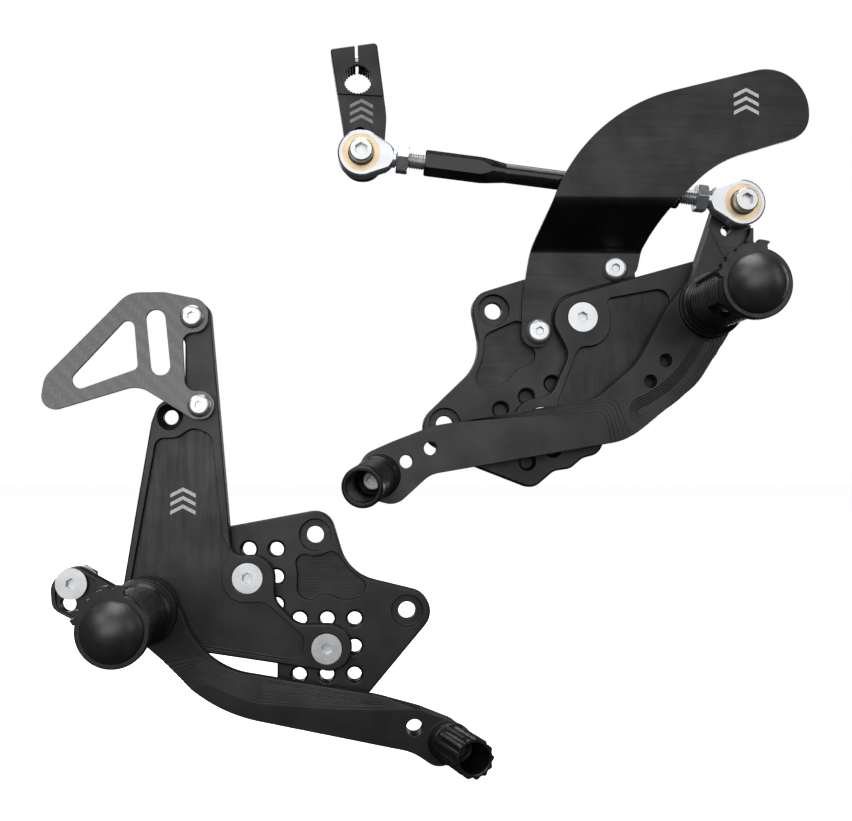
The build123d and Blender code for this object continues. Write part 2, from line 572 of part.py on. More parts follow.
# ---------------------------------------------------------------- levers
def blended(edge, face, share):
    """Corners part of the way from one outline to another."""
    corners = []
    for (x1, z1, r1), (x2, z2, r2) in zip(edge, face):
        corners.append((x1 + (x2 - x1) * share, z1 + (z2 - z1) * share, r1 + (r2 - r1) * share))
    return corners


def milled_arm(pivot, outline, edge, face):
    """Arm with a thin floor, and a thick face reached over milled terraces."""
    slab(pivot, outline, LEVER_BACK, ARM_FLOOR)
    for terrace in range(TERRACE_COUNT):
        low = ARM_FLOOR + terrace * TERRACE_STEP
        with BuildSketch(face_plane(pivot, low)) as section:
            rounded_face(outline)
            rounded_face(blended(edge, face, (terrace + 1) / TERRACE_COUNT), Mode.INTERSECT)
        extrude(section.sketch, amount=TERRACE_STEP)


def hub_bore(pivot):
    disc(pivot, (0, 0), HUB_RADIUS, LEVER_BACK, HUB_FACE)
    disc(pivot, (0, 0), BUSH_RADIUS, LEVER_BACK - 1, HUB_FACE + 1, Mode.SUBTRACT)


TOE_SEAT_RISE = 17.6               # from the lever's middle to the seat of the toe peg, along its axis
TOE_START = 21.5                   # height where the axis of the toe peg starts


def toe_boss(pivot, base, tilt, radius):
    """Boss that turns the tip of a lever into a seat square to the toe peg."""
    start = place(pivot, base, TOE_START)
    turned(start, tilt, [(0, 2.6), (radius, 2.6), (radius, TOE_SEAT_RISE), (0, TOE_SEAT_RISE)])
    turned(start, tilt, [(0, -9), (THREAD_6_RADIUS, -9), (THREAD_6_RADIUS, TOE_SEAT_RISE + 1),
                         (0, TOE_SEAT_RISE + 1)], Mode.SUBTRACT)


BRAKE_ARM_OUTLINE = [
    (8.0, 9.0, 0), (14.9, 8.0, 0), (30.2, -28.2, 42), (118.0, -43.5, 60), (140.0, -49.6, 10),
    (161.0, -58.0, 10), (161.5, -75.0, 10), (148.0, -78.5, 9), (136.0, -70.6, 25), (39.2, -50.3, 80),
    (-4.0, -13.5, 0),
]
BRAKE_ARM_EDGE = [
    (170.0, -43.0, 0), (140.0, -48.6, 0), (99.0, -40.0, 20), (58.0, -32.6, 30), (28.0, -22.0, 8),
    (0.0, -24.0, 0), (40.0, -90.0, 0), (170.0, -90.0, 0),
]
BRAKE_ARM_FACE = [
    (170.0, -43.0, 0), (140.0, -49.2, 0), (99.0, -48.6, 20), (58.0, -45.4, 30), (24.0, -32.0, 8),
    (22.0, -46.0, 0), (40.0, -90.0, 0), (170.0, -90.0, 0),
]
BRAKE_REAR_OUTLINE = [
    (-6.0, 8.0, 0), (-13.0, 11.6, 0), (-36.5, 24.6, 8), (-46.2, 14.0, 9), (-45.2, 1.6, 7),
    (-8.0, -18.0, 0), (8.0, -10.0, 0),
]
REAR_ARM_FACE = 29.0
REAR_RECESS = 2.2


def brake_lever():
    with BuildPart() as lever:
        milled_arm(BRAKE_PIVOT, BRAKE_ARM_OUTLINE, BRAKE_ARM_EDGE, BRAKE_ARM_FACE)
        slab(BRAKE_PIVOT, BRAKE_REAR_OUTLINE, LEVER_BACK, REAR_ARM_FACE)
        with BuildSketch(face_plane(BRAKE_PIVOT, REAR_ARM_FACE - REAR_RECESS)):
            rounded_face([(-23.0, 15.0, 3), (-35.5, 22.2, 7), (-43.8, 14.0, 7), (-43.2, 2.2, 6),
                          (-32.0, -3.8, 4), (-26.0, 0.0, 4)])
        extrude(amount=REAR_RECESS + 1, mode=Mode.SUBTRACT)
        toe_boss(BRAKE_PIVOT, BRAKE_TOE_BASE, BRAKE_TOE_TILT, 10.2)
        hub_bore(BRAKE_PIVOT)
        screw_sinks(BRAKE_PIVOT, [BRAKE_PUSHROD_BOLT], REAR_ARM_FACE + 1.2, 8.0, 4.0)
        disc(BRAKE_PIVOT, BRAKE_PUSHROD_HOLE, 4.0, LEVER_BACK - 1, REAR_ARM_FACE + 1, Mode.SUBTRACT)
        disc(BRAKE_PIVOT, BRAKE_ARM_HOLE, 4.2, LEVER_BACK - 1, 40, Mode.SUBTRACT)
    save(lever, "brake_lever")


def pushrod_fixings():
    """Countersunk screw with a spacer, washer and nut, which clamp the master cylinder's rod."""
    head_height = REAR_ARM_FACE + 1.1
    with BuildPart() as bolt:
        head = place(BRAKE_PIVOT, BRAKE_PUSHROD_BOLT, head_height)
        countersunk_screw(head, 20.0, 34.5, 3.9, 3.98, 7.9, 5.0)
    save(bolt, "brake_pushrod_bolt")
    stack = (("brake_pushrod_spacer", 6.2, 4.6, LEVER_BACK), ("brake_pushrod_washer", 7.4, 3.2, 4.6))
    for name, radius, low, high in stack:
        with BuildPart() as ring:
            centre = place(BRAKE_PIVOT, BRAKE_PUSHROD_BOLT, 0)
            turned(centre, OUTWARD, [(3.99, low), (radius, low), (radius, high), (3.99, high)])
        save(ring, name)
    with BuildPart() as nut:
        hex_prism(place(BRAKE_PIVOT, BRAKE_PUSHROD_BOLT, -3.2), OUTWARD, 12.8, 6.4)
        disc(BRAKE_PIVOT, BRAKE_PUSHROD_BOLT, 3.9, -5, 5, Mode.SUBTRACT)
    save(nut, "brake_pushrod_nut")


SHIFT_ARM_OUTLINE = [
    (-4.0, 12.0, 0), (-13.0, 10.9, 0), (-22.5, -1.5, 12), (-38.5, -30.5, 40), (-60.5, -49.0, 16),
    (-146.0, -63.6, 14), (-166.5, -71.6, 20), (-183.2, -79.0, 11), (-183.4, -99.5, 11),
    (-164.5, -104.4, 10), (-147.0, -88.4, 14), (-44.0, -70.6, 35), (-6.5, -41.0, 35), (8.5, -17.0, 10),
    (14.5, -6.0, 0),
]
SHIFT_ARM_EDGE = [
    (-200.0, -60.0, 0), (-146.0, -62.0, 0), (-100.0, -53.6, 20), (-44.0, -41.0, 8), (-34.0, -60.0, 0),
    (-34.0, -120.0, 0), (-200.0, -120.0, 0),
]
SHIFT_ARM_FACE = [
    (-200.0, -60.0, 0), (-146.0, -62.6, 0), (-100.0, -59.0, 20), (-57.0, -55.8, 5), (-53.0, -75.0, 0),
    (-53.0, -120.0, 0), (-200.0, -120.0, 0),
]
SHIFT_REAR_OUTLINE = [
    (-6.0, -10.0, 0), (-16.8, 2.0, 0), (-8.0, 19.6, 20), (6.6, 62.6, 8), (23.0, 62.6, 8), (22.6, 30.0, 8),
    (16.9, 4.0, 0), (6.0, -8.0, 0),
]
BEND_FACE = 28.5
LINK_SEAT = ROD_HEIGHT - BALL_WIDTH / 2
LINK_SEAT_MIDDLE = (10.3, 40.6)
LINK_SEAT_RADIUS = 10.6
SCOOP_PATH = [(-1.0, -20.0), (-14.0, -40.0), (-36.0, -55.5)]


def shift_lever():
    with BuildPart() as lever:
        milled_arm(SHIFT_PIVOT, SHIFT_ARM_OUTLINE, SHIFT_ARM_EDGE, SHIFT_ARM_FACE)
        with BuildSketch(face_plane(SHIFT_PIVOT, ARM_FLOOR)):
            rounded_face(SHIFT_ARM_OUTLINE)
            with Locations((-10.0, -40.0)):
                Rectangle(100.0, 100.0, mode=Mode.INTERSECT)
        extrude(amount=BEND_FACE - ARM_FLOOR)
        for cut in range(5):
            with BuildSketch(face_plane(SHIFT_PIVOT, BEND_FACE - 0.8 * (cut + 1))):
                with BuildLine() as path:
                    ThreePointArc(*SCOOP_PATH)
                SlotArc(arc=path.edge(), height=14.0 - 2.4 * cut)
            extrude(amount=0.8 * (cut + 1) + 0.1, mode=Mode.SUBTRACT)
        slab(SHIFT_PIVOT, SHIFT_REAR_OUTLINE, LEVER_BACK, HUB_FACE - 1.5)
        with BuildSketch(face_plane(SHIFT_PIVOT, LINK_SEAT)) as seat:
            rounded_face([(-6.0, 75.0, 0), (27.0, 75.0, 0), (27.0, LINK_SEAT_MIDDLE[1], 0),
                          (-6.0, LINK_SEAT_MIDDLE[1], 0)])
            with Locations(LINK_SEAT_MIDDLE):
                Circle(LINK_SEAT_RADIUS)
        extrude(seat.sketch, amount=10, mode=Mode.SUBTRACT)
        toe_boss(SHIFT_PIVOT, SHIFT_TOE_BASE, SHIFT_TOE_TILT, 11.0)
        hub_bore(SHIFT_PIVOT)
        for hole in SHIFT_BEND_HOLES:
            disc(SHIFT_PIVOT, hole, 3.4, LEVER_BACK - 1, 40, Mode.SUBTRACT)
        for hole in SHIFT_TIP_HOLES:
            disc(SHIFT_PIVOT, hole, 3.4, LEVER_BACK - 1, 50, Mode.SUBTRACT)
        disc(SHIFT_PIVOT, SHIFT_SPARE_LINK_HOLE, 2.6, LEVER_BACK - 1, 40, Mode.SUBTRACT)
        disc(SHIFT_PIVOT, REAR_BALL, 3.9, LEVER_BACK - 1, 40, Mode.SUBTRACT)
    save(lever, "shift_lever")


def toe_peg(pivot, side, base, tilt, radius, bore, length, flutes):
    """Hollow toe peg, held to its seat by a screw inside it."""
    start = place(pivot, base, TOE_START)
    low = TOE_SEAT_RISE
    high = low + length
    outer = [(THREAD_6_RADIUS + 0.4, low), (radius + 0.8, low), (radius + 0.8, low + 2.0)]
    outer += [(radius, low + 3.0)]
    for groove in range(8):
        at = low + 6.0 + 3.2 * groove
        outer += [(radius, at), (radius - 0.6, at + 0.5), (radius - 0.6, at + 1.0), (radius, at + 1.5)]
    outer += [(radius, high - 0.8), (radius - 0.8, high), (bore + 0.5, high), (bore, high - 0.5)]
    outer += [(bore, low + 10.0), (5.6, low + 9.0), (5.6, low + 5.0), (THREAD_6_RADIUS + 0.4, low + 5.0)]
    with BuildPart() as peg:
        turned(start, tilt, outer)
        axis_plane = Plane(origin=start, z_dir=tilt).offset(low + 3.5)
        if flutes:
            with BuildSketch(axis_plane):
                with PolarLocations(radius + 0.9, flutes):
                    Circle(2.0)
            extrude(amount=length, mode=Mode.SUBTRACT)
    save(peg, side + "_toe_peg")
    with BuildPart() as screw:
        along = Vector(*tilt).normalized()
        seat = Vector(*start) + along * (low + 5.0)
        inward = (-along.X, -along.Y, -along.Z)
        socket_screw((seat.X, seat.Y, seat.Z), inward, 17.0, THREAD_6_RADIUS, 5.0, 6.0, 5.0)
    save(screw, side + "_toe_peg_screw")


# ---------------------------------------------------------------- shift linkage
ROD_RISE = FRONT_BALL[1] - REAR_BALL[1]
ROD_RUN = FRONT_BALL[0] - REAR_BALL[0]
ROD_LENGTH = hypot(ROD_RUN, ROD_RISE)
TO_FRONT = (ROD_RUN / ROD_LENGTH, 0, ROD_RISE / ROD_LENGTH)
TO_REAR = (-ROD_RUN / ROD_LENGTH, 0, -ROD_RISE / ROD_LENGTH)
NUT_START = 18.5
TUBE_START = 33.0


def rod_end(ball, direction, name):
    """Rod end housing: a thin eye, a tapering neck and a threaded shank."""
    centre = place(SHIFT_PIVOT, ball, ROD_HEIGHT)
    plane = Plane(origin=centre, x_dir=direction, z_dir=OUTWARD)
    with BuildPart() as housing:
        with BuildSketch(plane.offset(-EYE_WIDTH / 2)):
            Circle(EYE_RADIUS)
            with BuildLine():
                Polyline((4.5, 11.1), (18.0, 4.6), (18.0, -4.6), (4.5, -11.1), close=True)
            make_face()
        extrude(amount=EYE_WIDTH)
        with BuildSketch(spin_plane(centre, direction)):
            with BuildLine():
                Polyline((0, -13), (EYE_RADIUS + 1, -13), (EYE_RADIUS + 1, 9.5), (4.6, 16.6), (4.6, 19.0),
                         (0, 19.0), close=True)
            make_face()
        revolve(axis=Axis(centre, direction), mode=Mode.INTERSECT)
        front = housing.faces().filter_by(GeomType.PLANE).sort_by(Axis.Y)[0]
        chamfer(front.edges().filter_by(GeomType.CIRCLE), 0.8)
        profile = [(0, 12), (THREAD_8_RADIUS - 0.3, 12)]
        profile += thread_profile(THREAD_8_RADIUS - 0.4, THREAD_8_RADIUS + 0.3, 17.5, 52.5, 1.25)
        turned(centre, direction, profile + [(0, 52.5)])
        turned(centre, OUTWARD, [(0, -10), (RACE_RADIUS, -10), (RACE_RADIUS, 10), (0, 10)], Mode.SUBTRACT)
    save(housing, name)


def rod_end_race(ball, name):
    centre = place(SHIFT_PIVOT, ball, ROD_HEIGHT)
    half = EYE_WIDTH / 2 - 0.2
    with BuildPart() as race:
        turned(centre, OUTWARD, [(5.0, -half), (RACE_RADIUS, -half), (RACE_RADIUS, half), (5.0, half)])
        with Locations(centre):
            Sphere(RACE_SPHERE_RADIUS, mode=Mode.SUBTRACT)
    save(race, name)


def link_ball(ball, name):
    centre = place(SHIFT_PIVOT, ball, ROD_HEIGHT)
    half = BALL_WIDTH / 2
    with BuildPart() as sphere:
        with Locations(centre):
            Sphere(BALL_RADIUS)
        turned(centre, OUTWARD, [(4.0, -half), (12.0, -half), (12.0, half), (4.0, half)], Mode.INTERSECT)
    save(sphere, name)


def jam_nuts():
    with BuildPart() as nuts:
        for ball, direction in ((REAR_BALL, TO_FRONT), (FRONT_BALL, TO_REAR)):
            centre = Vector(*place(SHIFT_PIVOT, ball, ROD_HEIGHT)) + Vector(*direction) * NUT_START
            base = (centre.X, centre.Y, centre.Z)
            reach = JAM_NUT_FLATS / 2 / cos(pi / 6)
            hex_prism(base, direction, JAM_NUT_FLATS, JAM_NUT_HEIGHT, turn=30)
            for start, far in ((0, 1), (JAM_NUT_HEIGHT, -1)):
                ring = [(reach - 0.9, start), (reach + 1, start), (reach + 1, start + far * 1.1)]
                turned(base, direction, ring, Mode.SUBTRACT)
            turned(base, direction, [(0, -1), (4.0, -1), (4.0, 8), (0, 8)], Mode.SUBTRACT)
    save(nuts, "rod_jam_nuts")


def linkage_rod():
    """Turnbuckle rod, hexagonal at both ends and turned down between them."""
    rear = place(SHIFT_PIVOT, REAR_BALL, ROD_HEIGHT)
    length = ROD_LENGTH - 2 * TUBE_START
    start_point = Vector(*rear) + Vector(*TO_FRONT) * TUBE_START
    start = (start_point.X, start_point.Y, start_point.Z)
    reach = ROD_FLATS / 2 / cos(pi / 6)
    with BuildPart() as rod:
        hex_prism(start, TO_FRONT, ROD_FLATS, length)
        near, far = 22.0, length - 29.0
        profile = [(0, 0), (reach - 0.8, 0), (reach, 0.8), (reach, near), (ROD_RADIUS, near + 11)]
        profile += [(ROD_RADIUS, far - 13), (reach, far), (reach, length - 0.8), (reach - 0.8, length)]
        turned(start, TO_FRONT, profile + [(0, length)], Mode.INTERSECT)
        for low in (-1, length - 21):
            turned(start, TO_FRONT, [(0, low), (4.0, low), (4.0, low + 22), (0, low + 22)], Mode.SUBTRACT)
    save(rod, "linkage_rod")


CLAMP_OUTLINE = [
    (-199.0, 133.3, 1.5), (-174.6, 137.2, 2), (-169.4, 98.0, 40), (-171.8, 66.0, 10.5), (-194.0, 66.0, 10.5),
    (-191.6, 88.0, 30),
]
CLAMP_SPARE_HOLE = (-183.3, 88.8)
CLAMP_BACK = 12.0
CLAMP_FACE = LINK_SEAT
LINK_BACK = 15.0                   # back of the clamp where the rod end is bolted on
SPLINE_TEETH = 30
PINCH_SEAT = 4.6
SLOT_WIDTH = 1.6
PINCH_OFFSET = 12.0


def spindle_clamp():
    """Split lever for the gearbox spindle, with a serrated bore and a pinch bolt across the slot."""
    lean = atan2(FRONT_BALL[0] - SPINDLE_BORE[0], SPINDLE_BORE[1] - FRONT_BALL[1])
    up = (-sin(lean), cos(lean))
    across = (cos(lean), 0, sin(lean))
    with BuildPart() as clamp:
        slab(SHIFT_PIVOT, CLAMP_OUTLINE, CLAMP_BACK, CLAMP_FACE)
        soften(clamp, CLAMP_FACE, 0.6)
        for low, high in ((CLAMP_BACK - 1, LINK_BACK), (CLAMP_FACE - 1.2, CLAMP_FACE + 1)):
            slab(SHIFT_PIVOT, [(-205.0, 110.0, 0), (-160.0, 108.4, 0), (-160.0, 50.0, 0), (-205.0, 50.0, 0)],
                 low, high, Mode.SUBTRACT)
        for boss in (FRONT_BALL, CLAMP_SPARE_HOLE):
            disc(SHIFT_PIVOT, boss, 6.6, LINK_BACK, CLAMP_FACE)
        disc(SHIFT_PIVOT, SPINDLE_BORE, SPINDLE_RADIUS, 5, 40, Mode.SUBTRACT)
        with BuildSketch(face_plane(SHIFT_PIVOT, 5)):
            with Locations(SPINDLE_BORE):
                with PolarLocations(SPINDLE_RADIUS, SPLINE_TEETH):
                    Rectangle(0.9, 0.7)
        extrude(amount=35, mode=Mode.SUBTRACT)
        slot_middle = (SPINDLE_BORE[0] + 15 * up[0], SPINDLE_BORE[1] + 15 * up[1])
        with BuildSketch(face_plane(SHIFT_PIVOT, 5)):
            with Locations(Location((slot_middle[0], slot_middle[1], 0), (0, 0, lean * 180 / pi))):
                Rectangle(SLOT_WIDTH, 30)
        extrude(amount=35, mode=Mode.SUBTRACT)
        pinch = (SPINDLE_BORE[0] + PINCH_OFFSET * up[0], SPINDLE_BORE[1] + PINCH_OFFSET * up[1])
        middle = place(SHIFT_PIVOT, pinch, (CLAMP_BACK + CLAMP_FACE) / 2)
        turned(middle, across, [(0, -9), (THREAD_6_RADIUS + 0.3, -9), (THREAD_6_RADIUS + 0.3, PINCH_SEAT),
                                (5.3, PINCH_SEAT), (5.3, 20), (0, 20)], Mode.SUBTRACT)
        disc(SHIFT_PIVOT, FRONT_BALL, THREAD_8_RADIUS + 0.3, 5, 40, Mode.SUBTRACT)
        disc(SHIFT_PIVOT, CLAMP_SPARE_HOLE, 3.4, LINK_BACK + 4, 40, Mode.SUBTRACT)
    save(clamp, "spindle_clamp")
    with BuildPart() as bolt:
        seat = Vector(*middle) + Vector(*across) * PINCH_SEAT
        inward = (-across[0], 0, -across[2])
        socket_screw((seat.X, seat.Y, seat.Z), inward, 13.0, THREAD_6_RADIUS, 5.0, 5.0, 5.0)
    save(bolt, "clamp_pinch_bolt")


def link_bolt(ball, back, name):
    """Socket cap screw through a ball joint."""
    seat = place(SHIFT_PIVOT, ball, ROD_HEIGHT + BALL_WIDTH / 2)
    with BuildPart() as bolt:
        socket_screw(seat, (0, 1, 0), ROD_HEIGHT + BALL_WIDTH / 2 - back, 3.9, 6.0, 5.6, 6.0)
    save(bolt, name)


# ---------------------------------------------------------------- build both units
brake_adapter_plate()
brake_side_plate()
plate_screws(BRAKE_PIVOT, BRAKE_PLATE_SCREWS, "brake_plate_screws")
brake_heel_guard()
brake_guard_fixings()
pivot_parts(BRAKE_PIVOT, "brake")
foot_peg(BRAKE_PIVOT, "brake")
peg_end(BRAKE_PIVOT, "brake")
brake_lever()
toe_peg(BRAKE_PIVOT, "brake", BRAKE_TOE_BASE, BRAKE_TOE_TILT, 9.8, 7.4, 37.0, 13)
pushrod_fixings()

shift_adapter_plate()
shift_side_plate()
plate_screws(SHIFT_PIVOT, SHIFT_PLATE_SCREWS, "shift_plate_screws")
shift_heel_guard()
shift_guard_screws()
pivot_parts(SHIFT_PIVOT, "shift")
foot_peg(SHIFT_PIVOT, "shift")
peg_end(SHIFT_PIVOT, "shift")
shift_lever()
toe_peg(SHIFT_PIVOT, "shift", SHIFT_TOE_BASE, SHIFT_TOE_TILT, 10.2, 7.6, 36.0, 0)
rod_end(REAR_BALL, TO_FRONT, "rear_rod_end")
rod_end(FRONT_BALL, TO_REAR, "front_rod_end")
rod_end_race(REAR_BALL, "rear_race")
rod_end_race(FRONT_BALL, "front_race")
link_ball(REAR_BALL, "rear_ball")
link_ball(FRONT_BALL, "front_ball")
link_bolt(REAR_BALL, LEVER_BACK, "rear_link_bolt")
link_bolt(FRONT_BALL, LINK_BACK, "front_link_bolt")
jam_nuts()
linkage_rod()
spindle_clamp()
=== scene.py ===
"""Looks of the rearset foot peg kit: camera, light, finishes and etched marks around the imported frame."""

from math import pi, radians

import bmesh
import bpy
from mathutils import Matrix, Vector


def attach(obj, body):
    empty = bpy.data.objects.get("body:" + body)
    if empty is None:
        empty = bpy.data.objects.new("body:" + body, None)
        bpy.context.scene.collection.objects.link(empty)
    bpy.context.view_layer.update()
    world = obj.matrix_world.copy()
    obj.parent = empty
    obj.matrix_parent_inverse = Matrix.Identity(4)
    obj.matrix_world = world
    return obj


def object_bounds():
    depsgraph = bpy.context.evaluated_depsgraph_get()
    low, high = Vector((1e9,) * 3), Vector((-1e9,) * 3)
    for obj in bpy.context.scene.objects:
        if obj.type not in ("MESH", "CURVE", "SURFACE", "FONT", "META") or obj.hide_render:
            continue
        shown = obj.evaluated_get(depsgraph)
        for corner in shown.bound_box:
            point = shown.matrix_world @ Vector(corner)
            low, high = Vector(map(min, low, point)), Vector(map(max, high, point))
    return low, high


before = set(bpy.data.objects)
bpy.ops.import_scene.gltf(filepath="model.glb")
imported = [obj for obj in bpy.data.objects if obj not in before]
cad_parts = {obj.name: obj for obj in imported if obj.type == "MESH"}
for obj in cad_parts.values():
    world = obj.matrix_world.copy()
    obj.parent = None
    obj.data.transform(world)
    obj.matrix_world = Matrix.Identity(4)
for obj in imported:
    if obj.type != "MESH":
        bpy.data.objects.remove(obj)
cad_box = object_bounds()
scene = bpy.context.scene

# ---------------------------------------------------------------- places in the shared frame, in metres
BRAKE_PIVOT = Vector((-0.1099, 0, -0.0174))
SHIFT_PIVOT = Vector((0.1821, 0, 0.1401))

# Distance of each face in front of the y = 0 plane.
POCKET_FLOOR = 0.0146
ADAPTER_FLOOR = 0.0058
BLADE_FACE = 0.046
CLAMP_FACE = 0.0258

# ---------------------------------------------------------------- camera
CAMERA_PLACE = Vector((-0.0004, -0.650, 0.0541))
CAMERA_TARGET = Vector((0.0341, -0.010, 0.0855))
camera_data = bpy.data.cameras.new("camera")
camera_data.lens = 51.16
camera_data.sensor_width = 36.0
camera_data.clip_start = 0.01
camera_data.clip_end = 60.0
camera = bpy.data.objects.new("camera", camera_data)
scene.collection.objects.link(camera)
camera.location = CAMERA_PLACE
camera.rotation_euler = (CAMERA_TARGET - CAMERA_PLACE).to_track_quat("-Z", "Y").to_euler()
scene.camera = camera


# ---------------------------------------------------------------- light
def softbox(name, place, target, width, height, radiance):
    """Rectangular light of the given radiance, turned to its target and unseen by the camera."""
    data = bpy.data.lights.new(name, "AREA")
    data.shape = "RECTANGLE"
    data.size = width
    data.size_y = height
    data.energy = radiance * pi * width * height
    light = bpy.data.objects.new(name, data)
    scene.collection.objects.link(light)
    light.location = place
    light.rotation_euler = (Vector(target) - Vector(place)).to_track_quat("-Z", "Y").to_euler()
    light.visible_camera = False


MIDDLE = (0.03, 0.0, 0.09)
BRAKE_SIDE = (-0.08, 0.0, 0.02)
softbox("front", (0.05, -1.50, 0.62), MIDDLE, 2.0, 1.15, 2.1)
softbox("front_low", (-0.30, -1.15, 0.09), BRAKE_SIDE, 0.9, 0.30, 3.2)
softbox("upper_left", (-1.10, -0.90, 1.25), MIDDLE, 0.9, 0.7, 5.0)
softbox("right", (1.50, -0.60, 0.60), MIDDLE, 0.4, 1.0, 3.0)
softbox("top", (0.0, 0.00, 1.50), MIDDLE, 1.6, 1.0, 4.4)
softbox("back_left", (-0.95, 1.35, 0.80), MIDDLE, 1.1, 1.1, 3.4)
softbox("back_right", (1.05, 1.30, 0.35), MIDDLE, 1.0, 0.8, 2.8)

# The surroundings are white to the camera, and a dim grey to everything else.
world = bpy.data.worlds.new("studio")
scene.world = world
world.use_nodes = True
sky = world.node_tree
sky.nodes.clear()
output = sky.nodes.new("ShaderNodeOutputWorld")
seen = sky.nodes.new("ShaderNodeBackground")
seen.inputs["Color"].default_value = (1, 1, 1, 1)
ambient = sky.nodes.new("ShaderNodeBackground")
ambient.inputs["Color"].default_value = (0.035, 0.036, 0.037, 1)
path = sky.nodes.new("ShaderNodeLightPath")
mix = sky.nodes.new("ShaderNodeMixShader")
sky.links.new(path.outputs["Is Camera Ray"], mix.inputs[0])
sky.links.new(ambient.outputs[0], mix.inputs[1])
sky.links.new(seen.outputs[0], mix.inputs[2])
sky.links.new(mix.outputs[0], output.inputs["Surface"])
scene.view_settings.view_transform = "Standard"
scene.view_settings.look = "None"


# ---------------------------------------------------------------- material nodes
class Finish:
    """A material with one Principled shader, and short calls that add nodes to it."""

    def __init__(self, name, color, metallic, roughness):
        self.material = bpy.data.materials.new(name)
        self.material.use_nodes = True
        self.tree = self.material.node_tree
        self.shader = self.tree.nodes["Principled BSDF"]
        self.shader.inputs["Base Color"].default_value = (*color, 1)
        self.shader.inputs["Metallic"].default_value = metallic
        self.shader.inputs["Roughness"].default_value = roughness
        self.where = self.node("ShaderNodeTexCoord").outputs["Object"]

    def node(self, kind, **settings):
        made = self.tree.nodes.new(kind)
        for key, value in settings.items():
            setattr(made, key, value)
        return made

    def feed(self, socket, value):
        """Sets a socket to a number, or links another node's output to it."""
        if isinstance(value, bpy.types.NodeSocket):
            self.tree.links.new(value, socket)
        else:
            socket.default_value = value

    def math(self, operation, a, b=0.0):
        made = self.node("ShaderNodeMath", operation=operation)
        for socket, value in zip(made.inputs, (a, b)):
            self.feed(socket, value)
        return made.outputs[0]

    def ramp(self, value, low, high, to_low=0.0, to_high=1.0):
        """Value carried from one range to another, held at its ends."""
        made = self.node("ShaderNodeMapRange", clamp=True)
        for socket, number in zip(made.inputs, (value, low, high, to_low, to_high)):
            self.feed(socket, number)
        return made.outputs["Result"]

    def axes(self):
        """Object position as its x, y and z."""
        made = self.node("ShaderNodeSeparateXYZ")
        self.feed(made.inputs[0], self.where)
        return made.outputs

    def moved(self, place=(0, 0, 0), stretch=(1, 1, 1)):
        """Object position counted from a place and stretched."""
        made = self.node("ShaderNodeMapping", vector_type="TEXTURE")
        self.feed(made.inputs["Vector"], self.where)
        made.inputs["Location"].default_value = place
        made.inputs["Scale"].default_value = stretch
        return made.outputs[0]

    def noise(self, size, detail=2.0, vector=None):
        """Noise whose patches are about size metres across."""
        made = self.node("ShaderNodeTexNoise")
        self.feed(made.inputs["Vector"], self.where if vector is None else vector)
        made.inputs["Scale"].default_value = 1 / size
        made.inputs["Detail"].default_value = detail
        return made.outputs[0]

    def lines(self, pitch, direction="X", vector=None, kind="BANDS", distortion=0.0):
        """Parallel tool marks, or rings, a pitch apart in metres."""
        made = self.node("ShaderNodeTexWave", wave_type=kind)
        if kind == "BANDS":
            made.bands_direction = direction
        else:
            made.rings_direction = direction
        self.feed(made.inputs["Vector"], self.where if vector is None else vector)
        made.inputs["Scale"].default_value = 2 * pi / (20 * pitch)
        made.inputs["Distortion"].default_value = distortion
        made.inputs["Detail"].default_value = 1.0
        made.inputs["Detail Scale"].default_value = 1.5
        return made.outputs["Fac"]

    def color(self, factor, dark, light):
        """Base colour between two tones."""
        made = self.node("ShaderNodeMix", data_type="RGBA")
        self.feed(made.inputs["Factor"], factor)
        for socket in made.inputs:
            if socket.type == "RGBA":
                socket.default_value = (*(dark if socket.name == "A" else light), 1)
        result = next(socket for socket in made.outputs if socket.type == "RGBA")
        self.tree.links.new(result, self.shader.inputs["Base Color"])

    def rough(self, value):
        self.feed(self.shader.inputs["Roughness"], value)

    def bump(self, height, depth):
        """Bump with its depth in metres. Several calls lie on top of each other."""
        made = self.node("ShaderNodeBump")
        made.inputs["Strength"].default_value = 1.0
        made.inputs["Distance"].default_value = depth
        self.feed(made.inputs["Height"], height)
        normal = self.shader.inputs["Normal"]
        if normal.is_linked:
            self.tree.links.new(normal.links[0].from_socket, made.inputs["Normal"])
        self.tree.links.new(made.outputs[0], normal)


BLACK = (0.022, 0.022, 0.023)
BLACK_WORN = (0.034, 0.034, 0.035)
SATIN = 0.40
PATCHY = (0.3, 0.7)  # the part of a noise's range that is spread over the whole effect


def anodised(name, roughness=SATIN, dark=BLACK, light=BLACK_WORN):
    """Satin black anodised aluminium with a fine grain and slightly uneven dye."""
    finish = Finish(name, dark, 0.80, roughness)
    finish.color(finish.ramp(finish.noise(0.018, 3.0), 0.35, 0.70), dark, light)
    finish.bump(finish.noise(0.0004), 0.000004)
    return finish


def plate_finish(name, floor_height, direction):
    """Flat plate whose milled pocket floors show parallel tool marks, a pitch apart along a direction."""
    mark_pitch, mark_depth, height_margin = 0.0013, 0.000016, 0.0004
    finish = anodised(name)
    outwards = finish.math("MULTIPLY", finish.axes()[1], -1.0)
    off_floor = finish.math("ABSOLUTE", finish.math("SUBTRACT", outwards, floor_height))
    in_pocket = finish.math("LESS_THAN", off_floor, height_margin)
    marks = finish.lines(mark_pitch, direction, distortion=0.6)
    finish.bump(finish.math("MULTIPLY", marks, in_pocket), mark_depth)
    along_marks = (1, 1, 9) if direction == "X" else (9, 1, 1)
    scuff = finish.noise(0.0022, vector=finish.moved(stretch=along_marks))
    change = finish.math("MULTIPLY", finish.ramp(scuff, *PATCHY, -0.05, 0.07), in_pocket)
    finish.rough(finish.math("ADD", change, SATIN))
    return finish


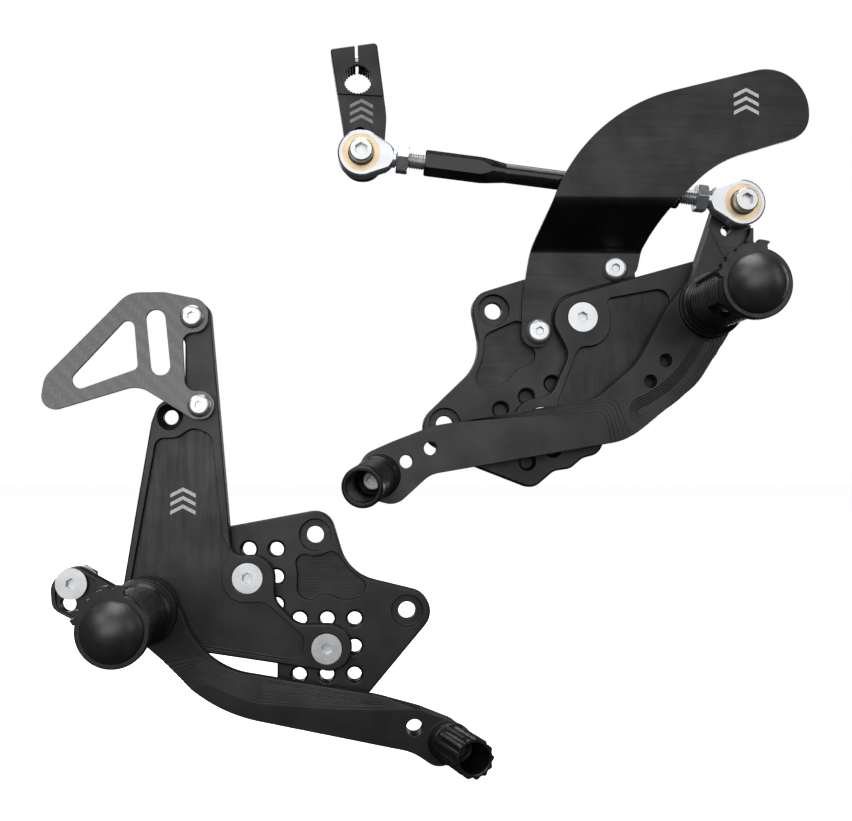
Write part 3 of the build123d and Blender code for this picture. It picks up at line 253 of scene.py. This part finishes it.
def turned_finish(name, roughness=0.34):
    """Anodised bar turned on a lathe: rings along its axis."""
    finish = anodised(name, roughness)
    finish.bump(finish.lines(0.0011, "Y", distortion=0.1), 0.000012)
    finish.rough(finish.ramp(finish.noise(0.004), *PATCHY, roughness - 0.06, roughness + 0.08))
    return finish


def metal(name, dark, light, roughness):
    """Metal with uneven plating."""
    finish = Finish(name, light, 0.85, roughness)
    finish.color(finish.ramp(finish.noise(0.0060), *PATCHY), dark, light)
    finish.rough(finish.ramp(finish.noise(0.0030), *PATCHY, roughness - 0.03, roughness + 0.04))
    finish.bump(finish.noise(0.00035), 0.000006)
    return finish


anodised_plain = anodised("black_anodised")
brake_plate = plate_finish("brake_plate_milled", POCKET_FLOOR, "X")
shift_plate = plate_finish("shift_plate_milled", POCKET_FLOOR, "X")
adapter_brake = plate_finish("brake_adapter_milled", ADAPTER_FLOOR, "Z")
adapter_shift = plate_finish("shift_adapter_milled", ADAPTER_FLOOR, "Z")
peg_turned = turned_finish("peg_turned")
toe_black = turned_finish("toe_peg_turned", 0.36)

lever_black = anodised("lever_milled", 0.36)
lever_black.bump(lever_black.lines(0.0009, "Y", distortion=0.2), 0.000010)

clamp_black = anodised("clamp_blasted", 0.46)
clamp_black.bump(clamp_black.noise(0.0007, 3.0), 0.00002)

plastic = Finish("slider_plastic", (0.016, 0.016, 0.017), 0.0, 0.42)
plastic.shader.inputs["Specular IOR Level"].default_value = 0.55
plastic_patches = plastic.ramp(plastic.noise(0.006), 0.35, 0.7)
plastic.color(plastic_patches, (0.013, 0.013, 0.014), (0.021, 0.021, 0.022))
plastic.rough(plastic.ramp(plastic.noise(0.0012, 3.0), *PATCHY, 0.38, 0.47))
plastic.bump(plastic.noise(0.0003), 0.000008)

zinc = metal("zinc_plated", (0.46, 0.47, 0.48), (0.54, 0.55, 0.56), 0.32)
rod_end_steel = metal("rod_end_plated", (0.44, 0.455, 0.48), (0.51, 0.52, 0.54), 0.30)
ball_steel = metal("ball_steel", (0.40, 0.37, 0.34), (0.52, 0.49, 0.46), 0.20)
bronze = metal("bronze", (0.48, 0.36, 0.22), (0.57, 0.45, 0.30), 0.32)
black_steel = metal("black_oxide_steel", (0.020, 0.020, 0.021), (0.050, 0.050, 0.052), 0.36)

gloss_rod = Finish("rod_gloss_black", (0.010, 0.010, 0.011), 0.35, 0.16)
rod_patches = gloss_rod.ramp(gloss_rod.noise(0.01), *PATCHY)
gloss_rod.color(rod_patches, (0.008, 0.008, 0.009), (0.014, 0.014, 0.015))
gloss_rod.rough(gloss_rod.ramp(gloss_rod.noise(0.003, 3.0), *PATCHY, 0.12, 0.22))
gloss_rod.bump(gloss_rod.lines(0.0012, "Z", distortion=2.0), 0.000003)

guard_black = anodised("guard_brushed", 0.34, (0.017, 0.017, 0.018), (0.030, 0.030, 0.031))
brushed = guard_black.noise(0.0016, 3.0, guard_black.moved(stretch=(16, 1, 1)))
guard_black.bump(brushed, 0.000018)
sweep = guard_black.lines(0.0016, "Y", guard_black.moved((0.02, 0, 0.12)), "RINGS", 0.5)
guard_black.bump(sweep, 0.000007)
guard_black.rough(guard_black.ramp(brushed, *PATCHY, 0.30, 0.42))


def carbon_finish():
    """Twill of fibre bundles, two over and two under, below a satin lacquer."""
    finish = Finish("carbon_twill", (0.05, 0.05, 0.05), 0.0, 0.38)
    finish.shader.inputs["Coat Weight"].default_value = 0.20
    finish.shader.inputs["Coat Roughness"].default_value = 0.22
    bundle = 0.0021
    x, _, z = finish.axes()
    along = finish.math("DIVIDE", x, bundle)
    up = finish.math("DIVIDE", z, bundle)
    column = finish.math("FLOOR", along)
    row = finish.math("FLOOR", up)
    step = finish.math("FLOORED_MODULO", finish.math("ADD", column, row), 4.0)
    warp_on_top = finish.math("LESS_THAN", step, 1.5)
    weft_on_top = finish.math("SUBTRACT", 1.0, warp_on_top)
    across_warp = finish.math("SUBTRACT", along, column)
    across_weft = finish.math("SUBTRACT", up, row)
    warp_round = finish.math("SINE", finish.math("MULTIPLY", across_warp, pi))
    weft_round = finish.math("SINE", finish.math("MULTIPLY", across_weft, pi))
    warp_part = finish.math("MULTIPLY", warp_round, warp_on_top)
    weft_part = finish.math("MULTIPLY", weft_round, weft_on_top)
    height = finish.math("ADD", warp_part, weft_part)
    fibres_up = finish.noise(0.0005, vector=finish.moved(stretch=(1, 1, 12)))
    fibres_across = finish.noise(0.0005, vector=finish.moved(stretch=(12, 1, 1)))
    fibre = finish.math("ADD", finish.math("MULTIPLY", fibres_up, warp_on_top),
                        finish.math("MULTIPLY", fibres_across, weft_on_top))
    # Painted sheen: bundles that run up are painted lighter than bundles that run across, in place of their
    # different reflection. The fibre streaks added next are the weave's own grain.
    warp_sheen = finish.math("MULTIPLY", warp_on_top, 0.30)
    tone = finish.math("ADD", warp_sheen, finish.math("MULTIPLY", fibre, 0.40))
    # Painted shade: each bundle is painted darker towards its edges, where the rounded bundle dips under
    # its neighbour.
    shaded_tone = finish.math("MULTIPLY", tone, finish.ramp(height, 0.0, 0.6, 0.65, 1.0))
    finish.color(shaded_tone, (0.045, 0.045, 0.046), (0.120, 0.120, 0.122))
    finish.bump(height, 0.00002)
    finish.rough(finish.ramp(fibre, *PATCHY, 0.30, 0.44))
    return finish


carbon = carbon_finish()

# ---------------------------------------------------------------- finishes on the CAD parts
FINISHES = {
    "brake_side_plate": brake_plate, "shift_side_plate": shift_plate,
    "brake_adapter_plate": adapter_brake, "shift_adapter_plate": adapter_shift,
    "brake_heel_guard": carbon, "shift_heel_guard": guard_black,
    "brake_lever": lever_black, "shift_lever": lever_black,
    "brake_foot_peg": peg_turned, "shift_foot_peg": peg_turned,
    "brake_peg_end_plug": peg_turned, "shift_peg_end_plug": peg_turned,
    "brake_toe_peg": toe_black, "shift_toe_peg": toe_black,
    "brake_peg_slider": plastic, "shift_peg_slider": plastic,
    "spindle_clamp": clamp_black, "linkage_rod": gloss_rod,
    "rear_rod_end": rod_end_steel, "front_rod_end": rod_end_steel,
    "rear_ball": ball_steel, "front_ball": ball_steel,
    "rear_race": bronze, "front_race": bronze,
    "brake_lever_bushes": bronze, "shift_lever_bushes": bronze,
    "brake_toe_peg_screw": black_steel, "brake_pushrod_nut": black_steel,
    "brake_pushrod_spacer": anodised_plain, "brake_guard_spacers": anodised_plain,
}
for name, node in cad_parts.items():
    finish = FINISHES.get(name, zinc)
    node.data.materials.clear()
    node.data.materials.append(finish.material)


# ---------------------------------------------------------------- softened edges
HARD_ANGLE = radians(32)
NARROW_EDGE = 0.00025
PLATE_EDGE = 0.00045
LEVER_EDGE = 0.00035
CLAMP_EDGE = 0.0003


def smooth_by_angle():
    """Geometry nodes that shade smooth across gentle edges and sharp across hard ones."""
    tree = bpy.data.node_groups.new("shade_by_angle", "GeometryNodeTree")
    tree.interface.new_socket("Geometry", in_out="INPUT", socket_type="NodeSocketGeometry")
    tree.interface.new_socket("Geometry", in_out="OUTPUT", socket_type="NodeSocketGeometry")
    source = tree.nodes.new("NodeGroupInput")
    result = tree.nodes.new("NodeGroupOutput")
    faces = tree.nodes.new("GeometryNodeSetShadeSmooth")
    faces.domain = "FACE"
    edges = tree.nodes.new("GeometryNodeSetShadeSmooth")
    edges.domain = "EDGE"
    angle = tree.nodes.new("GeometryNodeInputMeshEdgeAngle")
    gentle = tree.nodes.new("FunctionNodeCompare")
    gentle.operation = "LESS_THAN"
    gentle.inputs[1].default_value = HARD_ANGLE
    tree.links.new(angle.outputs["Unsigned Angle"], gentle.inputs[0])
    tree.links.new(source.outputs[0], faces.inputs["Geometry"])
    tree.links.new(faces.outputs[0], edges.inputs["Geometry"])
    tree.links.new(gentle.outputs[0], edges.inputs["Shade Smooth"])
    tree.links.new(edges.outputs[0], result.inputs[0])
    return tree


shade_by_angle = smooth_by_angle()


def soften(node, width, clamped):
    """Joins the CAD faces and rounds their hard edges, in modifiers only."""
    weld = node.modifiers.new("weld", "WELD")
    weld.merge_threshold = 0.000002
    flat = node.modifiers.new("flat", "DECIMATE")
    flat.decimate_type = "DISSOLVE"
    flat.angle_limit = radians(0.4)
    bevel = node.modifiers.new("bevel", "BEVEL")
    bevel.limit_method = "ANGLE"
    bevel.angle_limit = HARD_ANGLE
    bevel.width = width
    bevel.segments = 2
    bevel.use_clamp_overlap = clamped
    bevel.miter_outer = "MITER_ARC"
    shade = node.modifiers.new("shade", "NODES")
    shade.node_group = shade_by_angle
    weigh = node.modifiers.new("weigh", "WEIGHTED_NORMAL")
    weigh.mode = "FACE_AREA"
    weigh.weight = 50
    weigh.keep_sharp = True


WIDE_EDGES = {
    "brake_adapter_plate": PLATE_EDGE, "shift_adapter_plate": PLATE_EDGE,
    "brake_side_plate": PLATE_EDGE, "shift_side_plate": PLATE_EDGE,
    "brake_lever": LEVER_EDGE, "shift_lever": LEVER_EDGE, "spindle_clamp": CLAMP_EDGE,
}
# The linkage rod keeps its CAD edges.
for name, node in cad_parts.items():
    if name in WIDE_EDGES:
        soften(node, WIDE_EDGES[name], False)
    elif name != "linkage_rod":
        soften(node, NARROW_EDGE, True)


# ---------------------------------------------------------------- etched marks
def etched(name, metallic, dark, light):
    """Matt mark where the dye is burnt away."""
    finish = Finish(name, light, metallic, 0.5)
    finish.color(finish.ramp(finish.noise(0.0008, 3.0), *PATCHY), dark, light)
    finish.bump(finish.noise(0.0003), 0.000004)
    return finish


mark_grey = etched("etched_grey", 0.2, (0.34, 0.34, 0.35), (0.52, 0.52, 0.53))
mark_dim = etched("etched_dim", 0.3, (0.12, 0.12, 0.12), (0.22, 0.22, 0.22))


def chevrons(name, body, pivot, point, height, size, finish):
    """Three thin chevrons in a plain etched mark, centred on a point of a flat face.

    The point is counted from the pivot, and the height is the face's distance from y = 0.
    """
    thickness = 0.00005
    spacing = 0.34 * size
    stroke = 0.15 * size
    tip = 0.16 * size
    end = -0.10 * size
    arm = 0.5 * size
    top = [(-arm, end), (0, tip), (arm, end)]
    outline = top + [(x, z - stroke) for x, z in reversed(top)]
    across = pivot.x + point[0]
    mesh = bmesh.new()
    for index in (-1, 0, 1):
        up = pivot.z + point[1] + index * spacing
        low, high = (
            [mesh.verts.new((across + x, -height - rise, up + z)) for x, z in outline]
            for rise in (0.0, thickness)
        )
        for first, second, third, fourth in ((0, 1, 4, 5), (1, 2, 3, 4)):
            mesh.faces.new([high[first], high[second], high[third], high[fourth]])
            mesh.faces.new([low[fourth], low[third], low[second], low[first]])
        count = len(outline)
        for corner in range(count):
            after = (corner + 1) % count
            mesh.faces.new([low[corner], low[after], high[after], high[corner]])
    bmesh.ops.recalc_face_normals(mesh, faces=mesh.faces)
    data = bpy.data.meshes.new(name)
    mesh.to_mesh(data)
    mesh.free()
    data.materials.append(finish.material)
    piece = bpy.data.objects.new(name, data)
    scene.collection.objects.link(piece)
    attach(piece, body)


chevrons("brake_plate_mark", "plates_and_pegs", BRAKE_PIVOT, (0.0175, 0.0559),
         POCKET_FLOOR, 0.013, mark_grey)
chevrons("shift_guard_mark", "plates_and_pegs", SHIFT_PIVOT, (0.0149, 0.1037),
         BLADE_FACE, 0.013, mark_grey)
chevrons("clamp_mark", "clamp_unit", SHIFT_PIVOT, (-0.1826, 0.1014),
         CLAMP_FACE, 0.012, mark_dim)

floor_finish = Finish("floor", (0.9, 0.9, 0.9), 0.0, 0.9)
floor_finish.color(floor_finish.noise(0.4), (0.88, 0.88, 0.88), (0.92, 0.92, 0.92))
floor_finish.shader.inputs["Emission Color"].default_value = (1, 1, 1, 1)
floor_finish.shader.inputs["Emission Strength"].default_value = 0.95
floor_mesh = bpy.data.meshes.new("floor")
half = 12.0
level = cad_box[0].z
corners = [(-half, -half, level), (half, -half, level), (half, half, level), (-half, half, level)]
floor_mesh.from_pydata(corners, [], [(0, 1, 2, 3)])
floor_mesh.materials.append(floor_finish.material)
floor = bpy.data.objects.new("floor", floor_mesh)
scene.collection.objects.link(floor)
floor.visible_glossy = False
floor.visible_diffuse = False
